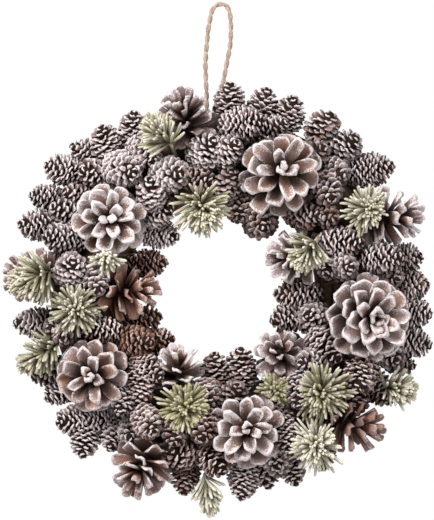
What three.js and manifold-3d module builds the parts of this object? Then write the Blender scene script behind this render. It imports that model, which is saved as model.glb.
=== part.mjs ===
// A pinecone wreath that hangs flat on a wall from a loop of jute rope.
// Millimetres, +Z up. The origin is where the nail carries the loop, and the viewer looks along +Y.
// A vine ring carries large frosted cones, open brown cones, needle sprigs and bunches of small cones.

import * as THREE from 'three';
import { ConvexGeometry } from 'three/addons/geometries/ConvexGeometry.js';
import { mergeVertices } from 'three/addons/utils/BufferGeometryUtils.js';
import Module from 'manifold-3d';

const wasm = await Module();
wasm.setup();

// Driving dimensions
const WREATH_DROP = 246; // from the nail down to the wreath's middle
const WALL_OFFSET = 4.5; // from the rope's middle back to the wall
const GAP = 0.3; // clearance between pieces that touch

const RING_INNER = 82;
const RING_OUTER = 148;
const RING_SIDE = 10; // height of the ring's straight side above its flat back
const RING_DEPTH = 34;
const RING_STEPS = 26;

const ROPE_DIAMETER = 4;
const ROPE_SIDES = 8;
const ROPE_STEPS = 24;

const WALL_CLEARANCE = 5; // the least that a cone stands off the wall
const SINK = 4; // how far a cone sinks between the vines
const BEARING_WIDTH = 0.9; // share of a cone's width that bears on the vines
const TIP_WIDTH = 1.12; // share of its width that a small cone's raised tips reach
const VALLEY_WIDTH = 0.91; // and that the dents between them reach

// Route of the rope, from the nail: x and z along its middle
const ROPE_ROUTE = [
  [-13.6, -97.6],
  [-13.2, -88],
  [-13.2, -78],
  [-13.9, -64.5],
  [-14.2, -47.3],
  [-13.3, -34.4],
  [-12, -21.5],
  [-10.3, -11],
  [-8.3, -3.2],
  [-4.5, 1.1],
  [-0.6, 2],
  [3.5, 0.8],
  [6.5, -4.4],
  [7.6, -13.5],
  [7.7, -23.3],
  [7.2, -32],
  [5.8, -41],
  [4, -49.6],
  [2.6, -58],
  [0.6, -67],
  [-2.2, -77],
  [-5.6, -88],
  [-8.4, -97.3],
];

// Places are millimetres from the wreath's middle. Each row of the tables below gives the x and z of
// the tip, the way the tip points in the plane of the wall (0 right, 90 up), how far it leans out
// from the wall, the length, the width and the extra lift that stacks it on its neighbours.
const LARGE_CONES = {
  large_cone_top_right: [52, 108, 76, 78, 52, 74, 0],
  large_cone_top_left: [-94, 63, 40, 84, 50, 65, 0],
  large_cone_right: [136, -25, -8, 72, 52, 76, 0],
  large_cone_left: [-115, -74, 200, 81, 50, 67, 0],
  large_cone_bottom: [22, -117, 60, 86, 50, 67, 4],
};

const OPEN_CONES = {
  open_cone_top: [-37, 171, 105, 32, 50, 52, 3],
  open_cone_right: [173, 66, 4, 14, 54, 54, 0],
  open_cone_left_inner: [-55, 2, 5, 25, 50, 50, -3],
  open_cone_right_inner: [44, 28, 184, 40, 46, 52, -3],
  open_cone_bottom_inner: [47, -49, 120, 68, 36, 50, -2],
  open_cone_bottom_left_inner: [-36, -49, 86, 28, 42, 48, -2],
  open_cone_bottom_right: [139, -121, -12, 16, 54, 53, 0],
  open_cone_bottom_left: [-77, -168, -116, 42, 46, 56, -2],
  open_cone_left: [-187, 12, 180, 4, 44, 50, 0],
};

// Each bunch of small cones is glued into one piece
const CONE_BUNCHES = {
  bunch_top: [
    [7, 181, 88, 12, 38, 27, 3],
    [37, 147, 12, 22, 42, 31, 4],
    [40, 176, 72, 12, 38, 25, 0],
    [62, 169, 76, 20, 36, 25, 0],
    [56, 146, 30, 30, 40, 26, 0],
  ],
  bunch_top_right: [
    [94, 154, 64, 30, 38, 29, 0],
    [117, 134, 42, 35, 40, 28, 0],
    [104, 99, -20, 60, 34, 26, 0],
    [88, 124, 40, 50, 34, 26, 0],
    [95, 78, -60, 50, 36, 28, 0],
    [149, 108, 10, 15, 44, 28, 0],
  ],
  bunch_right_inner_top: [
    [97, 61, -30, 55, 30, 22, 0],
    [86, 64, -5, 40, 40, 24, 0],
  ],
  bunch_top_middle: [
    [-7, 131, 60, 50, 38, 30, -2],
    [14, 128, 40, 45, 38, 26, 0],
  ],
  bunch_inner_top: [
    [8, 104, 75, 45, 38, 26, 0],
    [16, 62, -80, 50, 38, 28, 0],
    [37, 53, -60, 62, 36, 30, 0],
    [-6, 92, -20, 30, 38, 24, 0],
  ],
  bunch_right_front: [
    [122, 42, 0, 20, 42, 26, 0],
    [112, 20, -10, 60, 34, 25, 0],
    [88, 14, -120, 50, 34, 24, 0],
  ],
  bunch_right_middle: [
    [158, 28, 0, 15, 40, 26, 8],
    [152, 10, -30, 55, 32, 22, 0],
  ],
  bunch_right_outer: [
    [174, 30, 9, 5, 34, 27, 0],
    [180, 5, 2, 5, 34, 27, 0],
    [182, -21, -7, 5, 34, 27, 0],
  ],
  bunch_right_low: [
    [182, -47, -8, 5, 34, 25, 0],
    [150, -60, -45, 75, 32, 23, 0],
    [168, -66, -15, 5, 32, 20, 0],
  ],
  bunch_inner_right: [
    [44, -2, 176, 12, 44, 26, 0],
    [41, -26, 190, 22, 38, 25, 0],
    [72, -20, 150, 65, 36, 28, 0],
  ],
  bunch_inner_right_low: [
    [101, -60, -45, 30, 40, 28, 0],
    [66, -62, 190, 45, 36, 26, 0],
    [66, -100, -95, 40, 38, 26, 0],
  ],
  bunch_lower_right: [
    [115, -86, -105, 35, 40, 29, 4],
    [115, -106, -85, 40, 38, 26, 0],
    [146, -98, -50, 10, 36, 25, 0],
  ],
  bunch_bottom_right: [
    [56, -140, -80, 20, 46, 22, 0],
    [48, -152, -90, 70, 34, 26, 0],
    [64, -168, -75, 25, 34, 22, 0],
  ],
  bunch_bottom: [
    [40, -172, -85, 10, 34, 22, 0],
    [17, -181, -95, 15, 38, 26, 0],
  ],
  bunch_bottom_right_outer: [[87, -156, -90, 12, 42, 24, -1]],
  bunch_bottom_inner: [
    [15, -48, 95, 20, 40, 27, 0],
    [-6, -52, 92, 20, 36, 24, 0],
    [-8, -98, -60, 60, 34, 27, 0],
    [14, -80, 70, 45, 38, 27, 0],
  ],
  bunch_bottom_middle: [
    [2, -157, -55, 35, 38, 28, 0],
    [-47, -134, 150, 50, 36, 29, 0],
    [-33, -177, -95, 10, 34, 24, 0],
    [-18, -128, -110, 50, 38, 28, 0],
    [-42, -132, -100, 45, 34, 24, 0],
  ],
  bunch_lower_left_inner: [
    [-72, -102, -92, 15, 44, 26, 0],
    [-58, -122, -55, 50, 38, 27, 4],
    [-88, -106, -100, 40, 38, 24, 0],
    [-52, -76, -35, 35, 36, 26, 0],
  ],
  bunch_bottom_left: [
    [-80, -127, -100, 65, 32, 22, 0],
    [-97, -138, -105, 30, 36, 24, 0],
  ],
  bunch_lower_left: [
    [-123, -113, 185, 20, 38, 24, 0],
    [-121, -144, -100, 25, 36, 25, 0],
    [-143, -114, 190, 30, 36, 25, 0],
  ],
  bunch_left_low: [
    [-153, -95, 212, 10, 36, 23, 0],
    [-165, -76, 202, 10, 36, 24, 0],
  ],
  bunch_left: [
    [-181, -28, 183, 8, 40, 25, 0],
    [-150, -33, 190, 50, 30, 23, 0],
    [-136, -42, -100, 70, 32, 22, 0],
  ],
  bunch_left_inner_top: [[-121, -34, 180, 20, 36, 22, 0]],
  bunch_left_inner: [
    [-59, -44, 0, 40, 38, 27, 0],
    [-51, -21, 15, 10, 36, 24, 0],
    [-40, -41, 8, 10, 36, 24, 0],
  ],
  bunch_left_front: [
    [-154, 47, 175, 30, 42, 26, 0],
    [-128, 27, 85, 60, 38, 29, 0],
    [-106, -2, -75, 45, 34, 24, 0],
  ],
  bunch_upper_left_outer: [
    [-177, 57, 180, 8, 38, 26, 0],
    [-147, 73, 155, 40, 38, 25, 0],
    [-167, 83, 172, 8, 34, 22, 0],
    [-137, 86, 165, 40, 34, 22, 0],
  ],
  bunch_upper_left: [
    [-154, 109, 165, 12, 36, 26, 0],
    [-122, 104, 170, 45, 36, 25, 0],
    [-132, 126, 160, 10, 32, 20, 0],
    [-104, 143, 105, 30, 38, 26, 0],
    [-76, 156, 90, 20, 38, 25, 0],
  ],
  bunch_upper_left_front: [
    [-74, 101, -20, 55, 38, 31, 0],
    [-57, 111, -42, 45, 36, 26, 0],
  ],
  bunch_inner_left_top: [
    [-34, 101, 5, 55, 38, 30, 0],
    [-62, 97, 95, 45, 36, 26, 0],
    [-42, 72, 20, 35, 34, 24, 0],
    [-36, 46, -10, 10, 38, 24, 0],
  ],
  bunch_inner_left: [[-46, 25, 5, 8, 38, 24, 0]],
};

// Helpers for places on the ring

// How far the ring's front stands off the wall at a distance from the wreath's middle
function ringSurface(radius) {
  const middle = (RING_INNER + RING_OUTER) / 2;
  const across = (radius - middle) / ((RING_OUTER - RING_INNER) / 2);
  if (Math.abs(across) >= 1) return 0;
  return RING_SIDE + (RING_DEPTH - RING_SIDE) * Math.sqrt(1 - across * across);
}

// The unit vector along a cone or sprig, from its root to its tip
function leanDirection(heading, lean) {
  const turn = THREE.MathUtils.degToRad(heading);
  const rise = THREE.MathUtils.degToRad(lean);
  const flat = Math.cos(rise);
  return new THREE.Vector3(flat * Math.cos(turn), -Math.sin(rise), flat * Math.sin(turn));
}

// The frame of a cone: its middle and the turn that brings +Z along it
function coneFrame([tipX, tipZ, heading, lean, length, width, lift]) {
  const direction = leanDirection(heading, lean);
  const x = tipX - (direction.x * length) / 2;
  const z = tipZ - (direction.z * length) / 2;
  const rise = Math.abs(direction.y);
  const flat = Math.sqrt(1 - rise * rise);
  const support = ringSurface(Math.hypot(x, z)) - SINK;
  const seated = support + (width / 2) * BEARING_WIDTH * flat + (length / 2) * rise;
  const clear = WALL_CLEARANCE + (width / 2) * TIP_WIDTH * flat + (length / 2) * rise;
  const depth = Math.max(seated, clear) + lift;
  const turn = new THREE.Quaternion().setFromUnitVectors(new THREE.Vector3(0, 0, 1), direction);
  return { middle: new THREE.Vector3(x, -depth, z), turn, direction };
}

// A repeatable stream of numbers from 0 to 1
function seededDraw(seed) {
  let state = seed * 2654435761 + 12345;
  return () => {
    state = (Math.imul(state, 1664525) + 1013904223) >>> 0;
    return state / 4294967296;
  };
}

// Helpers for closed solids

function withoutFlatTriangles(geometry) {
  const index = geometry.index.array;
  const kept = [];
  for (let i = 0; i < index.length; i += 3) {
    const [a, b, c] = [index[i], index[i + 1], index[i + 2]];
    if (a !== b && b !== c && c !== a) kept.push(a, b, c);
  }
  geometry.setIndex(kept);
  return geometry;
}

function toSolid(geometry) {
  geometry.deleteAttribute('normal');
  geometry.deleteAttribute('uv');
  const closed = withoutFlatTriangles(mergeVertices(geometry, 1e-4));
  const vertProperties = new Float32Array(closed.attributes.position.array);
  const triVerts = new Uint32Array(closed.index.array);
  return new wasm.Manifold(new wasm.Mesh({ numProp: 3, vertProperties, triVerts }));
}

function toGeometry(solid) {
  const mesh = solid.getMesh();
  const geometry = new THREE.BufferGeometry();
  geometry.setAttribute('position', new THREE.BufferAttribute(new Float32Array(mesh.vertProperties), 3));
  geometry.setIndex(new THREE.BufferAttribute(new Uint32Array(mesh.triVerts), 1));
  geometry.computeVertexNormals();
  return geometry;
}

function joined(solids) {
  return solids.reduce((whole, solid) => whole.add(solid));
}

function largestBody(solid) {
  const bodies = solid.decompose();
  return bodies.reduce((best, body) => (body.volume() > best.volume() ? body : best));
}

function placed(geometry, frame) {
  return geometry.applyQuaternion(frame.turn).translate(frame.middle.x, frame.middle.y, frame.middle.z);
}

// A skin over stacked rows of points, closed by a point at each end. Each four-sided cell is split
// between its two points nearest the axis, so that raised points stay apart.
function stackedSkin(rows, lowPoint, highPoint) {
  const count = rows[0].length;
  const points = [...rows.flat(), lowPoint, highPoint];
  const low = points.length - 2;
  const high = points.length - 1;
  const fromAxis = (i) => Math.hypot(points[i].x, points[i].y);
  const index = [];
  for (let row = 0; row < rows.length - 1; row += 1) {
    for (let i = 0; i < count; i += 1) {
      const a = row * count + i;
      const b = row * count + ((i + 1) % count);
      const c = b + count;
      const d = a + count;
      if (fromAxis(a) + fromAxis(c) < fromAxis(b) + fromAxis(d)) index.push(a, b, c, a, c, d);
      else index.push(a, b, d, b, c, d);
    }
  }
  const last = (rows.length - 1) * count;
  for (let i = 0; i < count; i += 1) {
    const next = (i + 1) % count;
    index.push(next, i, low);
    index.push(last + i, last + next, high);
  }
  const geometry = new THREE.BufferGeometry().setFromPoints(points);
  geometry.setIndex(index);
  return geometry;
}

// Vine ring

function ringProfile(margin) {
  const middle = (RING_INNER + RING_OUTER) / 2;
  const half = (RING_OUTER - RING_INNER) / 2 + margin;
  const crown = RING_DEPTH - RING_SIDE + margin;
  const points = [new THREE.Vector2(middle - half, -margin), new THREE.Vector2(middle + half, -margin)];
  for (const degrees of [0, 45, 90, 135, 180]) {
    const angle = THREE.MathUtils.degToRad(degrees);
    points.push(new THREE.Vector2(middle + half * Math.cos(angle), RING_SIDE + crown * Math.sin(angle)));
  }
  points.push(points[0].clone());
  return points;
}

// The lathe's axis is turned from +Y to -Y so that the flat back lies on the wall
function ringSolid(margin) {
  const geometry = new THREE.LatheGeometry(ringProfile(margin), RING_STEPS);
  geometry.rotateX(Math.PI);
  return toSolid(geometry);
}

// Rope

function ropeSolid() {
  const points = ROPE_ROUTE.map(([x, z]) => new THREE.Vector3(x, -WALL_OFFSET, z + WREATH_DROP));
  const path = new THREE.CatmullRomCurve3(points, false, 'centripetal');
  const section = new THREE.Shape();
  for (let i = 0; i < ROPE_SIDES; i += 1) {
    const angle = ((i + 0.5) * 2 * Math.PI) / ROPE_SIDES;
    const x = (ROPE_DIAMETER / 2) * Math.cos(angle);
    const y = (ROPE_DIAMETER / 2) * Math.sin(angle);
    if (i === 0) section.moveTo(x, y);
    else section.lineTo(x, y);
  }
  section.closePath();
  const geometry = new THREE.ExtrudeGeometry(section, {
    steps: ROPE_STEPS,
    extrudePath: path,
    bevelEnabled: false,
  });
  return toSolid(geometry);
}

// Small cone: an egg whose scale tips are raised in rows, each row half a scale round from the last

const SCALES_ROUND = 4;
const LONG_CONE = 38; // longer cones have a row of scales more

function eggRadius(t) {
  return Math.sin(Math.PI * t ** 0.8) ** 0.42;
}

function smallCone(length, width, draw) {
  const rows = [];
  const columns = SCALES_ROUND * 2;
  const rowCount = length > LONG_CONE ? 4 : 3;
  for (let row = 0; row < rowCount; row += 1) {
    const t = 0.08 + (0.82 * row) / (rowCount - 1);
    const points = [];
    for (let column = 0; column < columns; column += 1) {
      const tip = (row + column) % 2 === 0;
      const angle = ((column + 0.35 * (draw() - 0.5)) * 2 * Math.PI) / columns;
      const radius = (width / 2) * eggRadius(t) * (tip ? TIP_WIDTH : VALLEY_WIDTH) * (0.97 + 0.06 * draw());
      const height = length * (t - 0.5 + (tip ? 0.045 : -0.03));
      points.push(new THREE.Vector3(radius * Math.cos(angle), radius * Math.sin(angle), height));
    }
    rows.push(points);
  }
  const root = new THREE.Vector3(0, 0, -length / 2);
  const tip = new THREE.Vector3(0, 0, length / 2);
  return stackedSkin(rows, root, tip);
}

// One scale of a larger cone: a spoon that points along +X, hollow on top and rounded below
function spoonScale(length, width, thickness, rootShare, curl) {
  const outline = [
    [0, -rootShare],
    [0.64, -0.5],
    [1, -0.26],
    [1, 0.26],
    [0.64, 0.5],
    [0, rootShare],
  ];
  const points = outline.map(([along, across]) => {
    const height = curl * along * along * length + 0.5 * width * across * across;
    return new THREE.Vector3(along * length, across * width, height);
  });
  const count = points.length;
  const over = new THREE.Vector3(0.62 * length, 0, 0.38 * curl * length);
  const under = new THREE.Vector3(0.55 * length, 0, 0.3 * curl * length - thickness);
  points.push(over, under);
  const index = [];
  for (let i = 0; i < count; i += 1) {
    const next = (i + 1) % count;
    index.push(i, next, count);
    index.push(next, i, count + 1);
  }
  const geometry = new THREE.BufferGeometry().setFromPoints(points);
  geometry.setIndex(index);
  return geometry;
}

// A cone's scales stand in whorls round its core, the lowest whorl first. Each whorl gives its number
// of scales, its height as a share of the length, the core's radius there, the scales' reach and
// breadth as shares of the width, and how steeply they rise.
const LARGE_WHORLS = [
  [6, 0.16, 0.24, 0.5, 0.32, 0],
  [5, 0.34, 0.2, 0.46, 0.29, 26],
  [4, 0.5, 0.14, 0.4, 0.25, 52],
  [2, 0.6, 0.1, 0.36, 0.22, 74],
];
const OPEN_WHORLS = [
  [5, 0.14, 0.15, 0.5, 0.24, 4],
  [4, 0.34, 0.14, 0.48, 0.24, 24],
  [2, 0.52, 0.12, 0.44, 0.24, 46],
  [1, 0.64, 0.1, 0.38, 0.18, 70],
];

const GOLDEN_ANGLE = Math.PI * (3 - Math.sqrt(5));
const SCALE_THICKNESS = 2.4;

// The core has a flat side under each scale of its lowest whorl
function coreSkin(length, width, whorls) {
  const sides = whorls[0][0];
  const rings = [whorls[0], whorls[whorls.length - 1]].map(([, height, radius]) => {
    const points = [];
    for (let i = 0; i < sides; i += 1) {
      const angle = ((i + 0.5) * 2 * Math.PI) / sides;
      const x = radius * width * Math.cos(angle);
      points.push(new THREE.Vector3(x, radius * width * Math.sin(angle), length * (height - 0.5)));
    }
    return points;
  });
  const low = new THREE.Vector3(0, 0, -length / 2);
  const high = new THREE.Vector3(0, 0, length * (whorls[whorls.length - 1][1] - 0.22));
  return stackedSkin(rings, low, high);
}

function scaledCone(length, width, whorls, rootShare, curl, draw) {
  const solids = [toSolid(coreSkin(length, width, whorls))];
  for (const [row, [count, height, radius, reach, breadth, elevation]] of whorls.entries()) {
    const root = 0.6 * radius * width;
    for (let k = 0; k < count; k += 1) {
      const blade = spoonScale(reach * width - root, breadth * width, SCALE_THICKNESS, rootShare, curl);
      blade.rotateY(-THREE.MathUtils.degToRad(elevation + 6 * (draw() - 0.5)));
      blade.translate(root, 0, length * (height + 0.06 - 0.5));
      blade.rotateZ(((k + 0.5 * row) * 2 * Math.PI) / count + 0.06 * (draw() - 0.5));
      solids.push(toSolid(blade));
    }
  }
  return joined(solids);
}

// Large cone: broad spoons in a rosette
function largeCone(length, width, draw) {
  return scaledCone(length, width, LARGE_WHORLS, 0.2, 0.16, draw);
}

// Open cone: narrow spoons that stand apart along a slim core
function openCone(length, width, draw) {
  return scaledCone(length, width, OPEN_WHORLS, 0.16, 0.1, draw);
}

// Sprigs of needles. Each row gives where the needles start (x, z and how far off the wall), the way
// the sprig points and leans, how far the needles reach, how wide they spread from its middle line,
// how long its core is against that reach, how many needles there are, and the root of its stem
// (x, z and how far off the wall).
const SPRIGS = {
  sprig_top_left: [-44, 126, 58, 133, 16, 30, 66, 0.6, 14, [-39, 114, 30.5]],
  sprig_inner_top: [-20, 79, 54, -72, 48, 33, 78, 0.65, 15, [-23, 91, 25]],
  sprig_right: [125, 70, 52, 0, 84, 28, 88, 0.42, 14, [117, 71, 24.5]],
  sprig_inner_right: [80, 43, 66, 232, 20, 26, 66, 0.75, 14, [85, 49, 27]],
  sprig_left: [-147, 18, 54, 204, 14, 33, 68, 0.7, 14, [-138.5, 18, 23]],
  sprig_left_front: [-126, -15, 46, 0, 86, 31, 88, 0.42, 14, [-122, -10, 30]],
  sprig_left_small: [-99, 29, 58, 90, 82, 21, 85, 0.42, 11, [-101, 26.5, 29.5]],
  sprig_left_low: [-142, -46, 34, 212, 12, 27, 72, 1.05, 14, [-136, -42, 20.4]],
  sprig_bottom_left: [-32, -100, 46, 0, 86, 31, 88, 0.42, 14, [-36.5, -100.5, 30]],
  sprig_bottom_small: [44, -86, 50, 60, 80, 19, 85, 0.42, 11, [44, -89, 28]],
  sprig_bottom_right: [86, -85, 50, 250, 78, 34, 88, 0.42, 15, [85.5, -82, 30.5]],
  sprig_bottom_right_low: [82, -131, 42, 210, 78, 32, 88, 0.42, 14, [78, -117.5, 21]],
  sprig_right_low: [141, -83, 32, -6, 25, 24, 66, 0.75, 14, [128.8, -53, 23]],
  sprig_bottom: [-15, -158, 28, -80, 12, 24, 48, 1.1, 14, [5, -143, 19]],
};

const NEEDLE_RADIUS = 1.3;
const STEM_RADIUS = 1.8;
const CORE_RADIUS = 4;

// A tapered rod between two points
function rodSolid(from, to, fromRadius, toRadius, sides) {
  const along = to.clone().sub(from);
  const geometry = new THREE.CylinderGeometry(toRadius, fromRadius, along.length(), sides);
  const turn = new THREE.Quaternion();
  turn.setFromUnitVectors(new THREE.Vector3(0, 1, 0), along.clone().normalize());
  const middle = from.clone().add(to).multiplyScalar(0.5);
  return toSolid(placed(geometry, { turn, middle }));
}

// Whether a point lies in the egg that bounds a cone
function insideEgg(point, cone) {
  const offset = point.clone().sub(cone.frame.middle);
  const along = offset.dot(cone.frame.direction);
  const across = Math.sqrt(Math.max(offset.lengthSq() - along * along, 0));
  const margin = NEEDLE_RADIUS;
  return Math.hypot(along / (cone.length / 2 + margin), across / (cone.width / 2 + margin)) < 1;
}

function blocked(from, direction, reach, cones) {
  return [0.35, 0.6, 0.8, 1].some((share) => {
    const point = from.clone().addScaledVector(direction, share * reach);
    return cones.some((cone) => insideEgg(point, cone));
  });
}

// A needle that would run into a cone is bent toward the viewer until it is clear
function clearDirection(from, direction, reach, cones) {
  const bent = direction.clone();
  for (let turn = 0; turn < 9 && blocked(from, bent, reach, cones); turn += 1) {
    bent.add(new THREE.Vector3(0, -0.2, 0)).normalize();
  }
  return blocked(from, bent, reach, cones) ? null : bent;
}

function sprigSolid([x, z, depth, heading, lean, reach, spread, core, needles, stem], cones, draw) {
  const axis = leanDirection(heading, lean);
  const base = new THREE.Vector3(x, -depth, z);
  const end = base.clone().addScaledVector(axis, core * reach);
  const root = new THREE.Vector3(stem[0], -stem[2], stem[1]);
  const solids = [rodSolid(base, end, CORE_RADIUS, 0.6 * CORE_RADIUS, 4)];
  solids.push(rodSolid(root, base, STEM_RADIUS, STEM_RADIUS, 4));
  const side = new THREE.Vector3(0.31, 0.2, 0.93).cross(axis).normalize();
  for (let k = 0; k < needles; k += 1) {
    const share = (k + 0.5) / needles;
    const from = base.clone().lerp(end, share * 0.92);
    const angle = THREE.MathUtils.degToRad(spread * (1 - 0.8 * share) * (0.92 + 0.16 * draw()));
    const out = side.clone().applyAxisAngle(axis, k * GOLDEN_ANGLE);
    const direction = axis.clone().multiplyScalar(Math.cos(angle)).addScaledVector(out, Math.sin(angle));
    const length = reach * (1 - 0.35 * share) * (0.9 + 0.1 * draw());
    const clear = clearDirection(from, direction, length, cones);
    if (!clear) continue;
    const tip = from.clone().addScaledVector(clear, length);
    solids.push(rodSolid(from, tip, NEEDLE_RADIUS, 0, 3));
  }
  return joined(solids);
}

// Clearing pieces from each other

function cornerPoints(solid) {
  const mesh = solid.getMesh();
  const points = [];
  for (let i = 0; i < mesh.numVert; i += 1) points.push(mesh.position(i));
  return points;
}

// Directions spread evenly over a sphere, each with its opposite beside it
const PROBES = [];
for (let k = 0; k < 140; k += 1) {
  const rise = (k + 0.5) / 140;
  const flat = Math.sqrt(1 - rise * rise);
  const angle = k * GOLDEN_ANGLE;
  const probe = new THREE.Vector3(flat * Math.cos(angle), flat * Math.sin(angle), rise);
  PROBES.push(probe, probe.clone().negate());
}

// How far the points reach along each probe direction
function reachTable(points) {
  return PROBES.map((probe) => {
    let furthest = -Infinity;
    for (const [x, y, z] of points) furthest = Math.max(furthest, x * probe.x + y * probe.y + z * probe.z);
    return furthest;
  });
}

// The probe along which two pieces overlap least, seen from the first to the second
function leastOverlap(first, second) {
  let best = 0;
  let least = Infinity;
  for (let i = 0; i < PROBES.length; i += 1) {
    const opposite = i % 2 === 0 ? i + 1 : i - 1;
    const overlap = first.reach[i] + second.reach[opposite];
    if (overlap < least) {
      least = overlap;
      best = i;
    }
  }
  return { overlap: least, probe: PROBES[best], firstReach: first.reach[best] };
}

// Cuts away what lies on the near side of a plane
function cutBelow(solid, normal, offset) {
  const size = 600;
  const turn = new THREE.Quaternion().setFromUnitVectors(new THREE.Vector3(0, 0, 1), normal);
  const middle = normal.clone().multiplyScalar(offset - size / 2);
  return solid.subtract(toSolid(placed(new THREE.BoxGeometry(size, size, size), { turn, middle })));
}

function cutAbove(solid, normal, offset) {
  return cutBelow(solid, normal.clone().negate(), -offset);
}

// The piece of lower rank gives way. Pieces of one rank meet half way, unless one stands well in front.
const CLEARLY_IN_FRONT = 6;

function clearPair(first, second) {
  const { overlap, probe, firstReach } = leastOverlap(first, second);
  if (overlap <= -GAP) return;
  const ahead = second.frame.middle.y - first.frame.middle.y;
  if (first.rank > second.rank || (first.rank === second.rank && ahead > CLEARLY_IN_FRONT)) {
    second.solid = cutBelow(second.solid, probe, firstReach + GAP);
  } else if (first.rank < second.rank || ahead < -CLEARLY_IN_FRONT) {
    first.solid = cutAbove(first.solid, probe, firstReach - overlap - GAP);
  } else {
    const middle = firstReach - overlap / 2;
    first.solid = cutAbove(first.solid, probe, middle - GAP / 2);
    second.solid = cutBelow(second.solid, probe, middle + GAP / 2);
  }
}

// The convex outline of a cone, a little larger than the cone
function wrapSolid(cone) {
  const { middle } = cone.frame;
  const grow = 1 + (2.6 * GAP) / cone.width;
  const points = cone.corners.map(([x, y, z]) => {
    return new THREE.Vector3(x, y, z).sub(middle).multiplyScalar(grow).add(middle);
  });
  return toSolid(new ConvexGeometry(points));
}

// A sprig gives way to every cone that it would touch
function clearOfCones(solid, cones) {
  const sprig = { reach: reachTable(cornerPoints(solid)) };
  const near = cones.filter((cone) => leastOverlap(sprig, cone).overlap > -2 * GAP);
  return near.reduce((clear, cone) => clear.subtract(wrapSolid(cone)), solid);
}

// Every cone, with its rank in the clearing above

const RANK = { large: 3, open: 2, small: 1 };

function coneEntry(node, kind, row, build, seed) {
  const [, , , , length, width] = row;
  const frame = coneFrame(row);
  const solid = placedSolid(build(length, width, seededDraw(seed)), frame);
  const corners = cornerPoints(solid);
  return { node, rank: RANK[kind], solid, frame, length, width, corners, reach: reachTable(corners) };
}

// Moves a geometry or a solid from its own frame to its place
function placedSolid(shape, frame) {
  const geometry = shape instanceof THREE.BufferGeometry ? shape : toGeometry(shape);
  return toSolid(placed(geometry, frame));
}

const cones = [];
for (const [node, row] of Object.entries(LARGE_CONES)) {
  cones.push(coneEntry(node, 'large', row, largeCone, cones.length + 1));
}
for (const [node, row] of Object.entries(OPEN_CONES)) {
  cones.push(coneEntry(node, 'open', row, openCone, cones.length + 1));
}
for (const [node, rows] of Object.entries(CONE_BUNCHES)) {
  for (const row of rows) cones.push(coneEntry(node, 'small', row, smallCone, cones.length + 1));
}

// Glue between neighbours in a bunch that don't grow into each other of themselves
const WEB_RADIUS = 3.5;
const FIRM_HOLD = 3; // the least shared volume that counts as grown together

function rootPoint(cone) {
  return cone.frame.middle.clone().addScaledVector(cone.frame.direction, -0.22 * cone.length);
}

function glueWeb(first, second) {
  const from = rootPoint(first);
  const to = rootPoint(second);
  const solid = rodSolid(from, to, WEB_RADIUS, WEB_RADIUS, 3);
  const frame = { middle: from.add(to).multiplyScalar(0.5) };
  const width = 2 * WEB_RADIUS;
  return { node: first.node, rank: 0, solid, frame, width, reach: reachTable(cornerPoints(solid)) };
}

// A large or open cone is hollowed where it would enter the ring. A small cone is cut flat: the plane
// through the wreath's axis and the cone holds a convex cut through the ring, and the cone stays out of
// that outline, and further back where the ring's inner wall bends to meet it.
function clearOfRing(cone) {
  if (cone.rank > RANK.small) {
    cone.solid = cone.solid.subtract(ringWithGap);
    return;
  }
  const outline = ringProfile(0).map(({ x, y }) => [x, y]);
  const azimuth = Math.atan2(cone.frame.middle.z, cone.frame.middle.x);
  const points = cornerPoints(cone.solid);
  let best = null;
  for (let degrees = 0; degrees <= 180; degrees += 9) {
    const angle = THREE.MathUtils.degToRad(degrees);
    const [outward, forward] = [Math.cos(angle), Math.sin(angle)];
    const normal = new THREE.Vector3(outward * Math.cos(azimuth), -forward, outward * Math.sin(azimuth));
    const bend = (Math.max(-outward, 0) * (cone.width / 2) ** 2) / (2 * RING_INNER);
    const ringReach = Math.max(...outline.map(([x, y]) => x * outward + y * forward)) + bend;
    const nearest = Math.min(...points.map(([x, y, z]) => x * normal.x + y * normal.y + z * normal.z));
    const overlap = ringReach + GAP - nearest;
    if (!best || overlap < best.overlap) best = { overlap, normal, offset: ringReach + GAP };
  }
  if (best.overlap > 0) cone.solid = cutBelow(cone.solid, best.normal, best.offset);
}

function growsInto(first, second) {
  return first.solid.intersect(second.solid).volume() > FIRM_HOLD;
}

const webs = [];
for (const node of Object.keys(CONE_BUNCHES)) {
  const bunch = cones.filter((cone) => cone.node === node);
  for (let i = 1; i < bunch.length; i += 1) {
    const earlier = bunch.slice(0, i);
    if (earlier.some((cone) => growsInto(cone, bunch[i]))) continue;
    const gap = (cone) => cone.frame.middle.distanceTo(bunch[i].frame.middle);
    const nearest = earlier.reduce((best, cone) => (gap(cone) < gap(best) ? cone : best));
    webs.push(glueWeb(nearest, bunch[i]));
  }
}

const rope = ropeSolid();
const ring = ringSolid(0);
const ringWithGap = ringSolid(GAP);

const glued = [...cones, ...webs];
for (let i = 0; i < glued.length; i += 1) {
  for (let j = i + 1; j < glued.length; j += 1) {
    if (glued[i].node !== glued[j].node) clearPair(glued[i], glued[j]);
  }
}

const pieces = new Map();
pieces.set('vine_ring', ring);
pieces.set('hanging_rope', rope);
for (const cone of glued) {
  clearOfRing(cone);
  const { node, solid } = cone;
  pieces.set(node, pieces.has(node) ? pieces.get(node).add(solid) : solid);
}
for (const [index, [node, row]] of Object.entries(SPRIGS).entries()) {
  const solid = sprigSolid(row, cones, seededDraw(500 + index));
  pieces.set(node, clearOfCones(solid.subtract(ringWithGap), cones));
}

// Colours of the materials
const FINISH = {
  vine: { color: 0x5b4334, roughness: 0.85, metalness: 0 },
  rope: { color: 0xb39c86, roughness: 0.95, metalness: 0 },
  large: { color: 0xb8aca6, roughness: 0.8, metalness: 0 },
  open: { color: 0x7c665c, roughness: 0.8, metalness: 0 },
  bunch: { color: 0x75675f, roughness: 0.85, metalness: 0 },
  sprig: { color: 0xb9bb9a, roughness: 0.9, metalness: 0 },
};

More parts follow.
